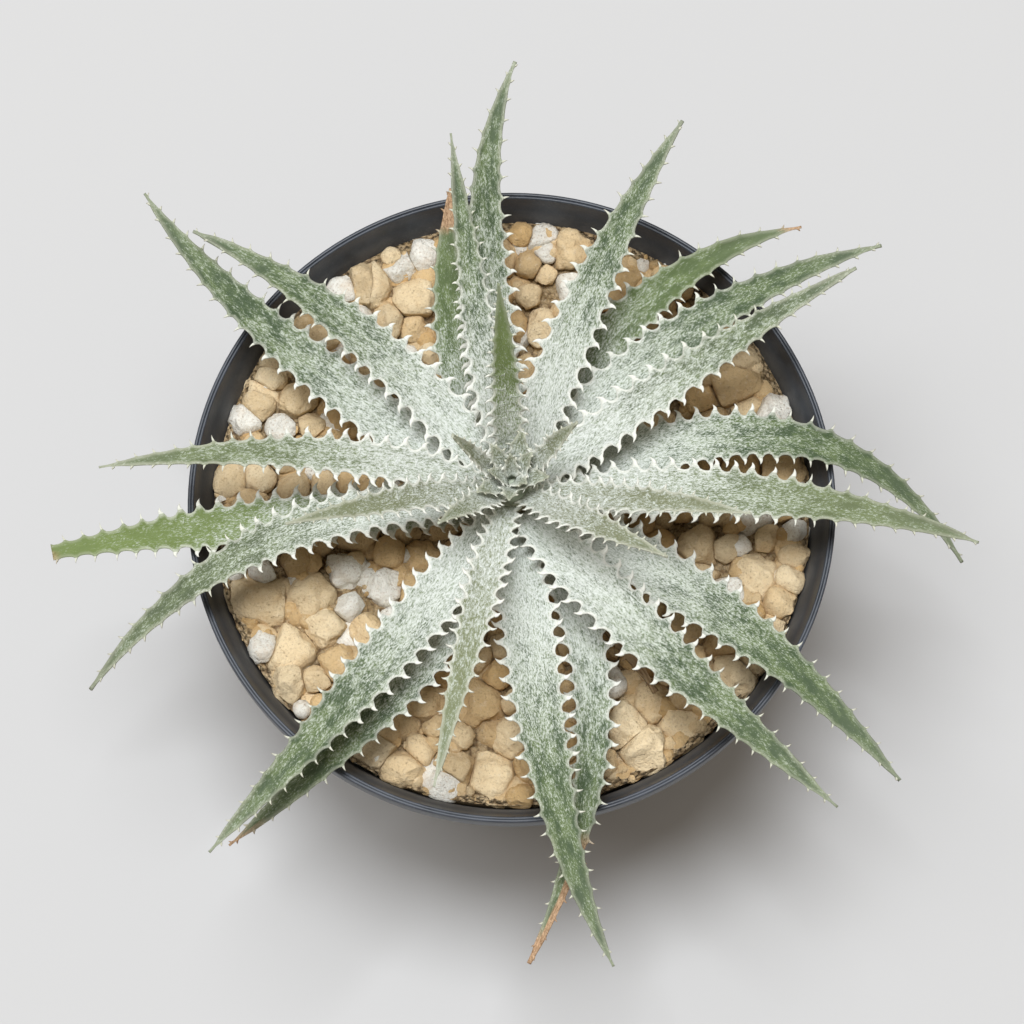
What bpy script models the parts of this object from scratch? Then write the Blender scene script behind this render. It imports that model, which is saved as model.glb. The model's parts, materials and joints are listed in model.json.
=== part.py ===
"""A dyckia in its pot: a rosette of toothed leaves on a short stem, in a gravel-topped nursery pot.

The origin is the middle of the pot's underside, +Z is up, and sizes are in metres.
"""

import math
import random

import bmesh
import bpy
from mathutils import Vector

MM = 0.001
GAP = 0.3 * MM

# Pot
RIM_RADIUS = 75 * MM
RIM_LIP = 1 * MM
RIM_BAND = 6 * MM
POT_HEIGHT = 120 * MM
BASE_RADIUS = 52 * MM
WALL = 1.6 * MM
FLOOR = 2 * MM
DRAIN_HOLES = 8
DRAIN_RADIUS = 3.5 * MM
DRAIN_RING = 34 * MM
POT_STEPS = 56

# Soil and gravel
SOIL_TOP = 104.5 * MM
STONE_TOP = 108 * MM
STONE_SIZES = ((6.4, 8), (5.2, 40), (4.1, 90), (3.2, 90))
STONE_TRIES = 60
STONE_CROWDING = 0.8
STONE_SEED = 11
STONE_REACH = 69.8 * MM
STEM_CLEAR = 10 * MM
LOW_ZONE = 27 * MM
LOW_DROP = 1.6 * MM
SOIL_STEPS = 40

# The gravel is heaped up towards the wall, more at the back (+Y) than at the front
HEAP = 3.5 * MM
HEAP_TILT = 2.3 * MM
HEAP_FULL = 65 * MM
HEAP_FLOOR = 92 * MM

# The stones that stand out, as (x, y, radius) in mm; those near the wall are drawn in until they fit
WHITE_STONES = (
    (-23, 68, 4.0), (-27, 60, 4.4), (-41, 55, 3.5), (8, 70, 4.2), (8, 62, 2.8), (14, 54, 3.7), (64, 24, 6.1),
    (-66, 23, 3.7), (-54, 20, 3.3), (-39, -13, 4.7), (-59, -33, 3.5), (-58, -14, 2.8), (-38, -22, 3.3),
    (-16, -67, 4.0), (23, -40, 3.7), (50, -19, 3.5),
)
TAN_STONES = (
    (-38, 60, 5.2), (-33, 54, 5.4), (-23, 51, 4.7), (-29, 46, 4.2), (-19, 39, 2.8), (-30, 65, 2.3),
    (14, 65, 5.2), (4, 52, 3.0), (7, 45, 4.2), (-62, 30, 4.7), (-56, 32, 3.5), (-50, 27, 4.2),
    (-59, 38, 3.3), (-47, 21, 3.5), (-69, 8, 4.0), (-59, 8, 4.2), (-51, 6, 3.5), (-44, 7, 2.8),
    (-47, -20, 6.1), (-62, -21, 7.3), (-52, -34, 6.3), (-43, -27, 4.2), (-55, -43, 4.2), (-35, -58, 6.3),
    (-26, -64, 4.7), (-30, -50, 4.7), (-13, -60, 5.2), (0, -53, 4.7), (-5, -62, 6.1), (-12, -53, 3.3),
    (26, -50, 4.9), (32, -45, 5.2), (42, -52, 7.5), (34, -61, 5.9), (18, -67, 4.2), (21, -59, 3.3),
    (52, -40, 5.2), (58, -16, 6.6), (66, -23, 4.0), (68, -11, 3.3), (44, -8, 4.7), (50, -8, 3.3),
    (68, -17, 3.3), (59, -6, 3.3), (60, -28, 3.5),
)
BROWN_STONES = (
    (4, 59, 3.3), (8, 57, 2.3), (2, 66, 2.8), (52, 31, 5.9), (57, 39, 4.7), (55, 24, 3.7), (44, 28, 4.2),
    (-59, 25, 3.5), (-20, -45, 4.7), (-21, -56, 3.3), (-7, -45, 5.4), (2, -69, 3.0), (40, -43, 3.5),
    (44, -15, 3.3),
)

# Stem, from the tip of its bud down to the root end, as (radius, height) in mm
STEM_PROFILE = ((0, 148), (1.3, 145), (2.4, 142), (3.3, 138), (7, 104), (6.4, 94), (3.5, 87), (0, 85))
STEM_TOP = (3.3 * MM, 138 * MM)
STEM_FOOT = (7 * MM, 104 * MM)
HOLE_RADIUS = 7.4 * MM
HOLE_DEPTH = 84.5 * MM
STEM_STEPS = 16

# Leaves
TOOTH_PITCH = 7 * MM
TOOTH_LENGTH = 3 * MM
TOOTH_BASE = 2.6 * MM
CHANNEL = 0.26
THICKNESS = 2.2 * MM
EDGE_SHARE = 0.3
BASE_WIDTH_SHARE = 0.66
FULL_WIDTH_AT = 0.24
TIP_WIDTH = 0.9 * MM

# name: heading at the stem, sweep to the tip and its curl, reach, width, height at the stem,
# climb to the crest, climb to the tip (degrees and mm)
LEAVES = {
    "leaf_01": (97.5, -8, 3, 95, 9.0, 118, 30, 36),
    "leaf_02": (95, 0, 1, 32, 5.5, 135, 38, 52),
    "leaf_03": (106, -5.5, 0.5, 75, 6.0, 129.5, 32, 36),
    "leaf_04": (121, -20, 0.8, 74, 8.6, 112, 18, 18),
    "leaf_05": (70, -5.5, 1, 90, 8.6, 127, 26, 26),
    "leaf_06": (64, -21, 1.6, 92, 9.4, 113.5, 18, 18),
    "leaf_07": (51, -18, 1, 101, 9.2, 119.7, 22, 22),
    "leaf_08": (32.5, -2, 1, 90, 7.4, 124.5, 28, 30),
    "leaf_09": (20, -26.5, 2.1, 106, 9.4, 115, 24, -6),
    "leaf_10": (1, -9, 1, 106, 9.2, 121.5, 25, 20),
    "leaf_11": (-17, 1, 1, 54, 5.6, 132, 32, 38),
    "leaf_12": (-42, 5, 1, 42, 5.4, 136, 32, 38),
    "leaf_13": (-22, -16, 0.7, 110, 10.4, 117.5, 20, 18),
    "leaf_14": (-54, 7.5, 0.8, 104, 10.0, 126, 25, 20),
    "leaf_15": (-83.5, 5, 3, 112, 10.0, 120, 24, 20),
    "leaf_16": (-44, -44, 0.7, 107, 7.4, 111, 18, 10),
    "leaf_17": (-103, 0, 1, 75, 6.0, 132.5, 30, 26),
    "leaf_18": (-121, -7, 0.7, 108, 9.6, 124, 25, 20),
    "leaf_19": (-106, -22, 0.6, 103, 9.2, 115, 18, 12),
    "leaf_20": (-178, 7, 0.7, 138, 8.6, 112.5, 18, 18),
    "leaf_21": (-176.5, 21.5, 1.1, 106, 8.0, 120.5, 26, 2),
    "leaf_22": (166, 14, 0.7, 92, 6.8, 128, 26, 24),
    "leaf_23": (-160, 0, 1, 52, 5.4, 135, 32, 38),
    "leaf_24": (149, -8, 2, 109, 9.6, 116.5, 21, 22),
    "leaf_25": (130, 12, 1.1, 92, 9.0, 123.5, 24, 24),
    "leaf_26": (163, 0, 1, 13.5, 3.4, 140, 18, 25),
    "leaf_27": (27, 0, 1, 16, 4.0, 139, 18, 25),
    "leaf_28": (-137, 0, 1, 22, 4.4, 138, 18, 24),
}
CUT_LEAF = "leaf_20"
CUT_AT = 0.755
DRY_LEAF = (-47, -6, 1, 55, 6.0, 107.8, 6, 7)
DRY_THICKNESS = 0.9 * MM

# Colours
SILVER = (0.62, 0.68, 0.60)
GREEN = (0.30, 0.42, 0.24)
DRY = (0.36, 0.24, 0.13)
BARK = (0.33, 0.27, 0.18)
TAN = (0.58, 0.40, 0.20)
CHARCOAL = (0.035, 0.04, 0.048)


def clear_scene():
    for obj in list(bpy.data.objects):
        bpy.data.objects.remove(obj)


def new_collection(name):
    made = bpy.data.collections.new(name)
    bpy.context.scene.collection.children.link(made)
    return made


def finish_material(name, colour, roughness):
    material = bpy.data.materials.new(name)
    material.use_nodes = True
    shader = material.node_tree.nodes["Principled BSDF"]
    shader.inputs["Base Color"].default_value = (*colour, 1)
    shader.inputs["Roughness"].default_value = roughness
    shader.inputs["Metallic"].default_value = 0
    return material


def add_object(name, mesh, collection, material=None):
    obj = bpy.data.objects.new(name, mesh)
    collection.objects.link(obj)
    if material:
        mesh.materials.append(material)
    return obj


def turned(name, profile, steps, collection, material):
    """A turned solid: the profile runs down the outer side from top to bottom."""
    mesh = bpy.data.meshes.new(name)
    bm = bmesh.new()
    points = [bm.verts.new((radius, 0, height)) for radius, height in profile]
    for upper, lower in zip(points, points[1:]):
        bm.edges.new((upper, lower))
    bm.to_mesh(mesh)
    bm.free()
    obj = add_object(name, mesh, collection, material)
    screw = obj.modifiers.new("turn", "SCREW")
    screw.steps = steps
    screw.render_steps = steps
    screw.use_merge_vertices = True
    screw.merge_threshold = 0.00001
    screw.use_smooth_shade = True
    return obj


def wall_radius(height):
    """The pot's inner wall at this height."""
    foot, top = BASE_RADIUS - WALL, RIM_RADIUS - RIM_LIP - WALL
    return foot + (top - foot) * height / POT_HEIGHT


def make_pot(collection, cutters):
    lip = RIM_RADIUS
    band = POT_HEIGHT - RIM_BAND
    profile = [
        (wall_radius(POT_HEIGHT), POT_HEIGHT - 1 * MM),
        (wall_radius(POT_HEIGHT) + 0.5 * MM, POT_HEIGHT),
        (lip - 0.6 * MM, POT_HEIGHT),
        (lip, POT_HEIGHT - 0.8 * MM),
        (lip, band),
        (wall_radius(band) + WALL, band - 1.2 * MM),
        (BASE_RADIUS, 1.5 * MM),
        (BASE_RADIUS - 1.5 * MM, 0),
        (0, 0),
        (0, FLOOR),
        (wall_radius(FLOOR), FLOOR),
        (wall_radius(POT_HEIGHT), POT_HEIGHT - 1 * MM),
    ]
    pot = turned("pot", profile, POT_STEPS, collection, finish_material("pot_plastic", CHARCOAL, 0.45))
    for index in range(DRAIN_HOLES):
        angle = math.tau * index / DRAIN_HOLES
        place = (DRAIN_RING * math.cos(angle), DRAIN_RING * math.sin(angle), FLOOR / 2)
        bpy.ops.mesh.primitive_cylinder_add(vertices=12, radius=DRAIN_RADIUS, depth=3 * FLOOR, location=place)
        cutter = bpy.context.object
        cutter.name = f"drain_cutter_{index}"
        cutter.hide_render = True
        cutter.display_type = "WIRE"
        for owner in list(cutter.users_collection):
            owner.objects.unlink(cutter)
        cutters.objects.link(cutter)
    drains = pot.modifiers.new("drains", "BOOLEAN")
    drains.operation = "DIFFERENCE"
    drains.operand_type = "COLLECTION"
    drains.collection = cutters
    return pot


def stone_places():
    """Where the stones lie, as (x, y, radius): the chosen ones first, then others thrown where there is room."""
    places = []
    for x, y, radius in WHITE_STONES + TAN_STONES + BROWN_STONES:
        inwards = min(1, (STONE_REACH / MM - 1.12 * radius) / math.hypot(x, y))
        places.append((x * inwards * MM, y * inwards * MM, radius * MM))
    dice = random.Random(STONE_SEED)
    for size, count in STONE_SIZES:
        for _ in range(count):
            for _ in range(STONE_TRIES):
                radius = size * MM * dice.uniform(0.88, 1.12)
                angle = dice.uniform(0, math.tau)
                far = math.sqrt(dice.random()) * STONE_REACH
                x, y = far * math.cos(angle), far * math.sin(angle)
                near_stem = STEM_CLEAR + radius > far
                small_zone = far < LOW_ZONE and size > STONE_SIZES[1][0]
                if near_stem or small_zone or far + radius * 1.12 > STONE_REACH:
                    continue
                if all(math.hypot(x - a, y - b) > STONE_CROWDING * (radius + c) for a, b, c in places):
                    places.append((x, y, radius))
                    break
    return places


def heap(point):
    """Where a point of the level gravel lies once the gravel is heaped up; it keeps its distance to the wall."""
    far = max(math.hypot(point.x, point.y), MM)
    share = min(1, max(0, (far - LOW_ZONE) / (HEAP_FULL - LOW_ZONE)))
    share *= share * (3 - 2 * share)
    depth = min(1, max(0, (point.z - HEAP_FLOOR) / (SOIL_TOP - HEAP_FLOOR)))
    rise = (HEAP + HEAP_TILT * point.y / RIM_RADIUS) * share * depth
    out = 1 + rise * share * (wall_radius(POT_HEIGHT) - wall_radius(0)) / POT_HEIGHT / far
    return Vector((point.x * out, point.y * out, point.z + rise))


def make_stone(index, place, dice, collection):
    """One rough stone: a coarse ball, flattened, turned and dented."""
    x, y, radius = place
    drop = LOW_DROP if math.hypot(x, y) < LOW_ZONE else 0
    height = min(STONE_TOP - 0.8 * radius * dice.uniform(0.92, 1.08), SOIL_TOP + 0.5 * radius) - drop
    mesh = bpy.data.meshes.new(f"stone_{index}")
    bm = bmesh.new()
    bmesh.ops.create_icosphere(bm, subdivisions=1, radius=radius)
    turn = dice.uniform(0, math.tau)
    stretch = dice.uniform(0.86, 1.0)
    for vert in bm.verts:
        vert.co *= dice.uniform(0.86, 1.06)
        wide, deep = vert.co.x * 1.04, vert.co.y * stretch
        vert.co.x = wide * math.cos(turn) - deep * math.sin(turn)
        vert.co.y = wide * math.sin(turn) + deep * math.cos(turn)
        vert.co.z = vert.co.z * 0.84
        vert.co += Vector((x, y, height))
    bm.to_mesh(mesh)
    bm.free()
    return add_object(mesh.name, mesh, collection)


def make_gravel(collection):
    """The soil with a plain hole for the stem, and the stones fused on it."""
    foot = FLOOR + GAP
    profile = [
        (HOLE_RADIUS, SOIL_TOP),
        (wall_radius(SOIL_TOP) - GAP, SOIL_TOP),
        (wall_radius(foot) - GAP, foot),
        (0, foot),
        (0, HOLE_DEPTH),
        (HOLE_RADIUS, HOLE_DEPTH),
        (HOLE_RADIUS, SOIL_TOP),
    ]
    gravel = turned("gravel", profile, SOIL_STEPS, collection, finish_material("gravel_tan", TAN, 0.95))
    stones = new_collection("stones")
    dice = random.Random(STONE_SEED + 1)
    for index, place in enumerate(stone_places()):
        make_stone(index, place, dice, stones)
    union = gravel.modifiers.new("stones", "BOOLEAN")
    union.operation = "UNION"
    union.operand_type = "COLLECTION"
    union.collection = stones
    union.solver = "EXACT"
    graph = bpy.context.evaluated_depsgraph_get()
    fused = bpy.data.meshes.new_from_object(gravel.evaluated_get(graph))
    gravel.modifiers.clear()
    gravel.data = fused
    for vert in fused.vertices:
        vert.co = heap(vert.co)
    for stone in list(stones.objects):
        bpy.data.objects.remove(stone)
    bpy.data.collections.remove(stones)
    return gravel


def make_stem(collection):
    profile = [(radius * MM, height * MM) for radius, height in STEM_PROFILE]
    return turned("stem", profile, STEM_STEPS, collection, finish_material("stem_bark", BARK, 0.85))


def stem_radius(height):
    (top_radius, top), (foot_radius, foot) = STEM_TOP, STEM_FOOT
    return foot_radius + (top_radius - foot_radius) * (height - foot) / (top - foot)


def leaf_line(leaf, s):
    """The point of a leaf's middle line at s, from 0 at the stem to 1 at the tip."""
    heading, sweep, curl, reach, _, height, crest, tip = leaf
    start = stem_radius(min(height * MM, STEM_TOP[1])) + 1.2 * GAP
    far = start + (reach * MM - start) * s
    angle = math.radians(heading + sweep * s**curl)
    heights = (height, height + 0.6 * crest, height + crest, height + tip)
    weights = ((1 - s) ** 3, 3 * s * (1 - s) ** 2, 3 * s * s * (1 - s), s**3)
    up = sum(weight * value for weight, value in zip(weights, heights)) * MM
    return Vector((far * math.cos(angle), far * math.sin(angle), up))


def leaf_axes(leaf, s):
    """The leaf's middle point, and its directions along, to the left and up."""
    step = 0.01
    low, high = max(0, s - step), min(1, s + step)
    along = (leaf_line(leaf, high) - leaf_line(leaf, low)).normalized()
    left = Vector((0, 0, 1)).cross(along).normalized()
    return leaf_line(leaf, s), along, left, along.cross(left)


def leaf_length(leaf):
    points = [leaf_line(leaf, index / 20) for index in range(21)]
    return sum((after - before).length for before, after in zip(points, points[1:]))


def swell(s):
    """How wide the blade is at s, as a share of its full width."""
    grown = min(1, s / FULL_WIDTH_AT)
    base = BASE_WIDTH_SHARE + (1 - BASE_WIDTH_SHARE) * grown * grown * (3 - 2 * grown)
    return base * (1 - s**3)


def tooth_scale(s):
    """Teeth are small at the base, longest in the middle and short at the tip."""
    return min(1, 0.45 + 2.6 * s) * min(1, 0.35 + 1.9 * (1 - s))


def add_blade(bm, leaf, end, thick):
    """The blade's open upper surface: a channelled strip whose edges run out and in along hooked teeth."""
    layer = bm.verts.layers.deform.verify()
    half = leaf[4] * MM / 2
    length = leaf_length(leaf)
    rows = max(3, round(length / TOOTH_PITCH))
    pitch = end / rows
    tooth = min(TOOTH_BASE, 0.5 * length / rows) / length

    def point(s, out, weight):
        """A point of the surface, out to the left or, where negative, to the right."""
        middle, _, left, up = leaf_axes(leaf, s)
        vert = bm.verts.new(middle + left * out + up * (CHANNEL * abs(out)))
        vert[layer][0] = weight
        return vert

    def scallop(s):
        return max(half * swell(s), TIP_WIDTH / 2)

    centres = [point(row * pitch, 0, thick * (1 - 0.75 * (row * pitch) ** 2)) for row in range(rows + 1)]
    for side in (1, -1):
        def add(*verts, side=side):
            bm.faces.new(verts if side > 0 else verts[::-1])

        lows = [point(row * pitch, side * scallop(row * pitch), 0) for row in range(rows)]
        lows.append(point(end, side * TIP_WIDTH / 2, 0))
        for row in range(rows):
            s = row * pitch
            here, there = lows[row], lows[row + 1]
            toothed = row > 0
            if not toothed:
                add(centres[row], centres[row + 1], there, here)
                continue
            size = min(1, half / (3 * MM)) * tooth_scale(s)
            lean = 0.05 + 0.9 * max(0, s - 0.55)
            root = s + tooth
            heel = point(root, side * (scallop(root) + 0.35 * MM), 0)
            tip = point(s + lean * tooth, side * (scallop(s) + TOOTH_LENGTH * size), 0)
            add(centres[row], heel, here)
            add(centres[row], centres[row + 1], heel)
            add(centres[row + 1], there, heel)
            add(here, heel, tip)
    return bm


def make_leaf(name, leaf, collection, material, end=1.0, thickness=THICKNESS, thick=1.0):
    mesh = bpy.data.meshes.new(name)
    bm = add_blade(bmesh.new(), leaf, end, thick)
    bmesh.ops.recalc_face_normals(bm, faces=bm.faces)
    if sum(face.normal.z for face in bm.faces) < 0:
        bmesh.ops.reverse_faces(bm, faces=bm.faces)
    bm.to_mesh(mesh)
    bm.free()
    obj = add_object(name, mesh, collection, material)
    obj.vertex_groups.new(name="thick")
    flesh = obj.modifiers.new("flesh", "SOLIDIFY")
    flesh.thickness = thickness
    flesh.offset = -1
    flesh.vertex_group = "thick"
    flesh.thickness_vertex_group = max(EDGE_SHARE, 0.65 * MM / thickness)
    return obj


def make_leaves(collection):
    silver = finish_material("leaf_silver", SILVER, 0.6)
    green = finish_material("leaf_green", GREEN, 0.6)
    for name, leaf in LEAVES.items():
        young = leaf[3] < 60
        end = CUT_AT if name == CUT_LEAF else 1.0
        thickness = THICKNESS * (0.6 if young else 1)
        make_leaf(name, leaf, collection, green if young else silver, end, thickness)
    make_leaf("leaf_dry", DRY_LEAF, collection, finish_material("leaf_brown", DRY, 0.9), 1.0, DRY_THICKNESS)


def main():
    clear_scene()
    plant = new_collection("dyckia_in_pot")
    cutters = new_collection("cutters")
    make_pot(plant, cutters)
    make_gravel(plant)
    make_stem(plant)
    make_leaves(plant)


main()
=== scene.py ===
"""The looks of a dyckia in its pot: a scurfy, toothed rosette over tan gravel, on a pale studio floor."""

import json
import math
import random

import bmesh
import bpy
import numpy as np
from bpy.props import FloatProperty, FloatVectorProperty, IntProperty, PointerProperty
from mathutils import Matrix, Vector, noise

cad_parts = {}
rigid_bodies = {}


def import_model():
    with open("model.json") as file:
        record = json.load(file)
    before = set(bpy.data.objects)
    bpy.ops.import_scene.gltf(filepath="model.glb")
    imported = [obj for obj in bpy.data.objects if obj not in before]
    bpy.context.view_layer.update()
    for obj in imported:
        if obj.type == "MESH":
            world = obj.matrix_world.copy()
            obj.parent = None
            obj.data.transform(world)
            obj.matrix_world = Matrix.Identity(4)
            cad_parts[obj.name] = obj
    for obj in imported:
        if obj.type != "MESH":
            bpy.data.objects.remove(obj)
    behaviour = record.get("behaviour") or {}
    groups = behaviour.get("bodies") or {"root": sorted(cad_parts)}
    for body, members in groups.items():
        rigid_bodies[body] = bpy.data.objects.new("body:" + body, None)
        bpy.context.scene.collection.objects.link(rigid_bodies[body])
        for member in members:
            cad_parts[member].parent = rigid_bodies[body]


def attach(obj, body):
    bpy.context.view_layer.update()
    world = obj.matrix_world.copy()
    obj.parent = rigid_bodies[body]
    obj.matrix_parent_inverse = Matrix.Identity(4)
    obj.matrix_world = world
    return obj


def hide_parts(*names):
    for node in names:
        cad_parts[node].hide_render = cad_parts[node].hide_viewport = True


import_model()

bl_info = {
    "name": "Dyckia in a pot",
    "version": (1, 0, 0),
    "blender": (4, 5, 0),
    "location": "3D View > Sidebar > Dyckia",
    "description": "Dresses the packed dyckia: leaves with hooked teeth, gravel, pot, studio",
    "category": "Object",
}

METRE = 1
MM = 0.001
GAP = 0.3 * MM

# Pot, as in the construction
RIM_RADIUS = 75 * MM
RIM_LIP = 1 * MM
RIM_BAND = 6 * MM
POT_HEIGHT = 120 * MM
BASE_RADIUS = 52 * MM
WALL = 1.6 * MM
FLOOR = 2 * MM
DRAIN_HOLES = 8
DRAIN_RADIUS = 3.5 * MM
DRAIN_RING = 34 * MM
BEAD = 0.45 * MM
INNER_BEAD = 0.4 * MM
INNER_DROP = 0.7 * MM
RIM_THICK = 1.5 * MM
BAND_EDGE = 0.3 * MM
FOOT_ROUND = 1.5 * MM
WALL_RINGS = (108, 96, 72, 48, 24, 6)

# Soil and gravel, as in the construction
SOIL_TOP = 104.5 * MM
STONE_TOP = 108 * MM
STONE_SIZES = ((6.4, 8), (5.2, 40), (4.1, 90), (3.2, 90))
STONE_SPREAD = (0.88, 1.12)
STONE_TRIES = 60
STONE_CROWDING = 0.8
STONE_SEED = 11
STONE_REACH = 69.8 * MM
STEM_CLEAR = 10 * MM
LOW_ZONE = 27 * MM
LOW_DROP = 1.6 * MM

# The stones' shape: flats knocked off a ball, a rough skin, and the gap that neighbours keep
STONE_LIFT = (-0.5, 0.9)
STONE_FULL = 1.16
STONE_SQUAT = 0.86
FLAT_COUNT = 9
FLAT_PLACES = (0.68, 0.94)
FLATTENED = 0.92
ROUGHNESS = 0.19
ROUGH_SCALE = 1.5
LUMPINESS = 0.13
LUMP_SCALE = 3.1
STRETCH = (0.86, 1.1)
NEIGHBOURHOOD = 1.25
STONE_GAP = 0.02 * MM
STONE_ROUND = 0.8 * MM
WALL_CLEAR = 0.15 * MM
BIG_STONE = 4 * MM

# The stones under the others and the grit, in mm; every fourth one lies by the wall, where soil banks up
UNDER_SIZES = (2.6, 4.2)
UNDER_HEIGHTS = (-1.6, -0.4)
GRIT_LEAST = 0.7
GRIT_RANGE = 2.0
GRIT_HEIGHTS = (0.0, 1.6)
GRIT_SQUAT = 0.9
GRIT_SEED = 500
BIG_GRIT = 1.9 * MM
CRUMB_ROW = 4
CRUMBS_FROM = 0.95
SOIL_DROP = 0.4 * MM
SOIL_RINGS = (0.25, 0.4, 0.5, 0.6, 0.7, 0.8, 0.9, 0.993)
BANK = 2.4 * MM
BANKED_FROM = 0.96

# Straws, in mm
STRAW_PLACES = (25, 58)
STRAW_LENGTHS = (6, 16)
STRAW_RADII = (0.18, 0.4)
STRAW_JOINTS = 7

# The gravel is heaped up towards the wall, more at the back (+Y) than at the front
HEAP = 3.5 * MM
HEAP_TILT = 2.3 * MM
HEAP_FULL = 65 * MM
HEAP_FLOOR = 92 * MM

# The stones that stand out, as (x, y, radius) in mm; those near the wall are drawn in until they fit
WHITE_STONES = (
    (-23, 68, 4.0), (-27, 60, 4.4), (-41, 55, 3.5), (8, 70, 4.2), (8, 62, 2.8), (14, 54, 3.7),
    (64, 24, 6.1), (-66, 23, 3.7), (-54, 20, 3.3), (-39, -13, 4.7), (-59, -33, 3.5), (-58, -14, 2.8),
    (-38, -22, 3.3), (-16, -67, 4.0), (23, -40, 3.7), (50, -19, 3.5),
)
TAN_STONES = (
    (-38, 60, 5.2), (-33, 54, 5.4), (-23, 51, 4.7), (-29, 46, 4.2), (-19, 39, 2.8), (-30, 65, 2.3),
    (14, 65, 5.2), (4, 52, 3.0), (7, 45, 4.2), (-62, 30, 4.7), (-56, 32, 3.5), (-50, 27, 4.2),
    (-59, 38, 3.3), (-47, 21, 3.5), (-69, 8, 4.0), (-59, 8, 4.2), (-51, 6, 3.5), (-44, 7, 2.8),
    (-47, -20, 6.1), (-62, -21, 7.3), (-52, -34, 6.3), (-43, -27, 4.2), (-55, -43, 4.2), (-35, -58, 6.3),
    (-26, -64, 4.7), (-30, -50, 4.7), (-13, -60, 5.2), (0, -53, 4.7), (-5, -62, 6.1), (-12, -53, 3.3),
    (26, -50, 4.9), (32, -45, 5.2), (42, -52, 7.5), (34, -61, 5.9), (18, -67, 4.2), (21, -59, 3.3),
    (52, -40, 5.2), (58, -16, 6.6), (66, -23, 4.0), (68, -11, 3.3), (44, -8, 4.7), (50, -8, 3.3),
    (68, -17, 3.3), (59, -6, 3.3), (60, -28, 3.5),
)
BROWN_STONES = (
    (4, 59, 3.3), (8, 57, 2.3), (2, 66, 2.8), (52, 31, 5.9), (57, 39, 4.7), (55, 24, 3.7), (44, 28, 4.2),
    (-59, 25, 3.5), (-20, -45, 4.7), (-21, -56, 3.3), (-7, -45, 5.4), (2, -69, 3.0), (40, -43, 3.5),
    (44, -15, 3.3),
)

CHOSEN = len(WHITE_STONES + TAN_STONES + BROWN_STONES)

# Stem, as (radius, height) in mm, and its cone as (radius, height)
STEM_PROFILE = ((0, 139), (1.4, 138.6), (2.6, 137), (3.3, 134), (7, 104), (6.4, 94), (3.5, 87), (0, 85))
STEM_TOP = (3.3 * MM, 138 * MM)
STEM_FOOT = (7 * MM, 104 * MM)
HOLE_DEPTH = 84.5 * MM

# Leaves by number: heading at the stem, sweep to the tip and its curl, reach, width, height at the stem,
# climb to the crest, climb to the tip (degrees and mm), as in the construction
LEAVES = {
    1: (97.5, -8, 3, 95, 9.0, 118, 30, 36),
    2: (95, 0, 1, 32, 5.5, 135, 38, 52),
    3: (106, -5.5, 0.5, 75, 6.0, 129.5, 32, 36),
    4: (121, -20, 0.8, 74, 8.6, 112, 18, 18),
    5: (70, -5.5, 1, 90, 8.6, 127, 26, 26),
    6: (64, -21, 1.6, 92, 9.4, 113.5, 18, 18),
    7: (51, -18, 1, 101, 9.2, 119.7, 22, 22),
    8: (32.5, -2, 1, 90, 7.4, 124.5, 28, 30),
    9: (20, -26.5, 2.1, 106, 9.4, 115, 24, -6),
    10: (1, -9, 1, 106, 9.2, 121.5, 25, 20),
    11: (-17, 1, 1, 54, 5.6, 132, 32, 38),
    12: (-42, 5, 1, 42, 5.4, 136, 32, 38),
    13: (-22, -16, 0.7, 110, 10.4, 117.5, 20, 18),
    14: (-54, 7.5, 0.8, 104, 10.0, 126, 25, 20),
    15: (-83.5, 5, 3, 112, 10.0, 120, 24, 20),
    16: (-44, -44, 0.7, 107, 7.4, 111, 18, 10),
    17: (-103, 0, 1, 75, 6.0, 132.5, 30, 26),
    18: (-121, -7, 0.7, 108, 9.6, 124, 25, 20),
    19: (-106, -22, 0.6, 103, 9.2, 115, 18, 12),
    20: (-178, 7, 0.7, 138, 8.6, 112.5, 18, 18),
    21: (-176.5, 21.5, 1.1, 106, 8.0, 120.5, 26, 2),
    22: (166, 14, 0.7, 92, 6.8, 128, 26, 24),
    23: (-160, 0, 1, 52, 5.4, 135, 32, 38),
    24: (149, -8, 2, 109, 9.6, 116.5, 21, 22),
    25: (130, 12, 1.1, 92, 9.0, 123.5, 24, 24),
    26: (163, 0, 1, 13.5, 3.4, 140, 18, 25),
    27: (27, 0, 1, 16, 4.0, 139, 18, 25),
    28: (-137, 0, 1, 22, 4.4, 138, 18, 24),
}
YOUNG = (2, 11, 12, 23, 26, 27, 28)
CUT_LEAF = 20
CUT_AT = 0.755
DRY_LEAF = (-47, -6, 1, 55, 6.0, 107.8, 6, 7)
TIP_WIDTH = 0.5 * MM
CHANNEL = 0.26
BASE_WIDTH_SHARE = 0.66
FULL_WIDTH_AT = 0.24

# How green each leaf is towards its tip, how olive and how bare of scurf it is, and from where its tip
# has dried; None stands for the heart
GREENNESS = {
    2: 0.75, 4: 0.6, 6: 0.6, 7: 0.55, 9: 0.75, 10: 0.85, 13: 0.85, 14: 0.5, 15: 0.7, 16: 0.6, 18: 0.45,
    19: 0.6, 20: 1.0, 21: 0.6, 22: 0.3, 24: 0.5, 25: 0.3,
}
OLIVE = {
    None: 0.8, 8: 0.2, 10: 0.35, 11: 1.0, 12: 1.0, 17: 0.8, 21: 0.25, 22: 0.3, 23: 0.9, 26: 0.9, 27: 0.9,
    28: 0.8,
}
BARE = {
    2: 0.3, 4: 0.16, 6: 0.16, 10: 0.15, 11: 0.45, 12: 0.4, 17: 0.35, 20: 0.35, 22: 0.15, 23: 0.5,
    26: 0.35, 27: 0.35, 28: 0.2,
}
DRIED_FROM = {4: 0.84, 6: 0.93, 16: 0.93, 19: 0.93, 20: 0.74}
HALF_DRIED = 16

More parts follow.
